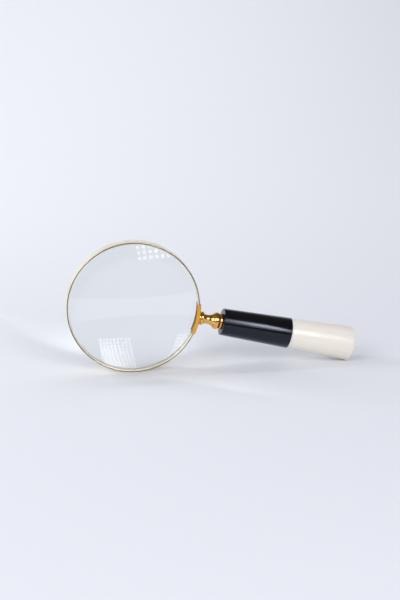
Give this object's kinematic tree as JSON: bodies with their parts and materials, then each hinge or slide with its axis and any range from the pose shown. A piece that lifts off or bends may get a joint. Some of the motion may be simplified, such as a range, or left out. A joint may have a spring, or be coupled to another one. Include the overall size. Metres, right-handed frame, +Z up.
{
  "type": "magnifying glass",
  "caption": "Hand-held magnifying glass: a thick biconvex lens in a brass rim, on a turned brass neck with a two-tone tapered handle that unscrews.",
  "frame": {"origin": "middle of the object's box in plan, on the surface it stands on, with the rim and the lower edge of the butt touching it", "axes": "+X from the rim towards the butt of the handle, +Y along the lens axis, away from the side shown in the picture, +Z up"},
  "size_m": [0.2303, 0.0276, 0.104],
  "materials": {
    "lens_glass": "optically polished",
    "rim_brass": "pale polished brass",
    "saddle_brass": "satin, warm gold",
    "neck_brass": "polished turning",
    "stud_steel": "plain machined",
    "washer_fibre": "dark red vulcanised fibre",
    "black_grip": "polished, lightly scratched",
    "ivory_grip": "polished cream, faint grain"
  },
  "bodies": {
    "frame": {"lens": "lens_glass", "rim_band": "rim_brass", "front_seat_ring": "rim_brass", "rear_seat_ring": "rim_brass", "saddle": "saddle_brass", "neck": "neck_brass", "stud": "stud_steel"},
    "washer": {"washer": "washer_fibre"},
    "handle": {"ferrule": "neck_brass", "front_grip": "black_grip", "rear_grip": "ivory_grip", "dowel": "stud_steel"}
  },
  "joints": [
    {"name": "handle_turn", "type": "hinge", "parent": "frame", "child": "washer", "pos_m": [0.00354, 0, 0.03728], "axis": [0.9765, 0, -0.2156], "range_deg": [0, 4320]},
    {"name": "handle_advance", "type": "slide", "parent": "washer", "child": "handle", "axis": [0.9765, 0, -0.2156], "range_m": [0, 0.012]}
  ],
  "couplings": [
    {"joint": "handle_advance", "follows": "handle_turn", "m_per_rad": 0.00015915}
  ]
}
